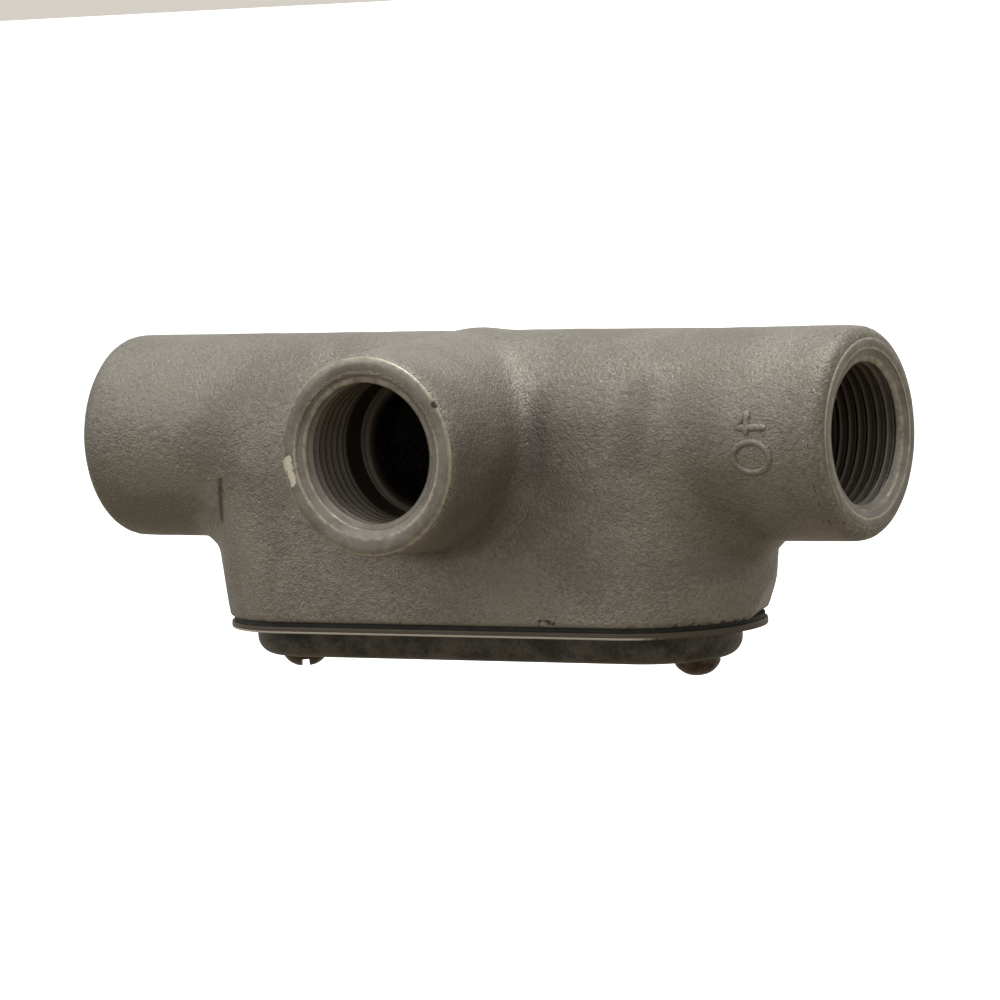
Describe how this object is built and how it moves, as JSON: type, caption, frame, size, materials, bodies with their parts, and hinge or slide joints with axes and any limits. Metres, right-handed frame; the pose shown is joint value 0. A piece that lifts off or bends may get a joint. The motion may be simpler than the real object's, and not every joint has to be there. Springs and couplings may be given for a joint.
{
  "type": "conduit body",
  "caption": "Tee-shaped cast iron conduit outlet body with three threaded hubs and a screwed, gasketed steel cover.",
  "frame": {"origin": "centre of the branch hub's mouth", "axes": "+X along the run, out of the right hub; -Y out of the branch hub; -Z out of the covered opening"},
  "size_m": [0.1504, 0.0583, 0.0604],
  "materials": {
    "casting": "sand-cast iron under a thin aluminium lacquer, worn at the edges",
    "gasket": "black sheet gasket",
    "cover": "stamped steel, dull dark lacquer, edge worn bright",
    "screws": "dark bronzed steel",
    "nuts": "plain zinc plated steel"
  },
  "bodies": {
    "body": {"casting": "casting"},
    "cover": {"cover": "cover", "gasket": "gasket"},
    "screw_left": {"cover_screw_left": "screws"},
    "screw_right": {"cover_screw_right": "screws"},
    "nut_left": {"wedge_nut_left": "nuts"},
    "nut_right": {"wedge_nut_right": "nuts"}
  },
  "joints": [
    {"name": "cover_lift", "type": "slide", "parent": "body", "child": "cover", "axis": [0, 0, -1], "range_m": [0, 0.025]},
    {"name": "nut_left_travel", "type": "slide", "parent": "cover", "child": "nut_left", "axis": [0, 0, 1], "range_m": [0, 0.00317]},
    {"name": "nut_right_travel", "type": "slide", "parent": "cover", "child": "nut_right", "axis": [0, 0, 1], "range_m": [0, 0.00317]},
    {"name": "screw_left_turn", "type": "hinge", "parent": "cover", "child": "screw_left", "pos_m": [-0.04095, 0.0395, -0.0385], "axis": [0, 0, -1], "range_deg": [0, 1440]},
    {"name": "screw_right_turn", "type": "hinge", "parent": "cover", "child": "screw_right", "pos_m": [0.03975, 0.0395, -0.0385], "axis": [0, 0, -1], "range_deg": [0, 1440]}
  ],
  "couplings": [
    {"joint": "screw_left_turn", "follows": "nut_left_travel", "rad_per_m": 7915.8},
    {"joint": "screw_right_turn", "follows": "nut_right_travel", "rad_per_m": 7915.8}
  ]
}
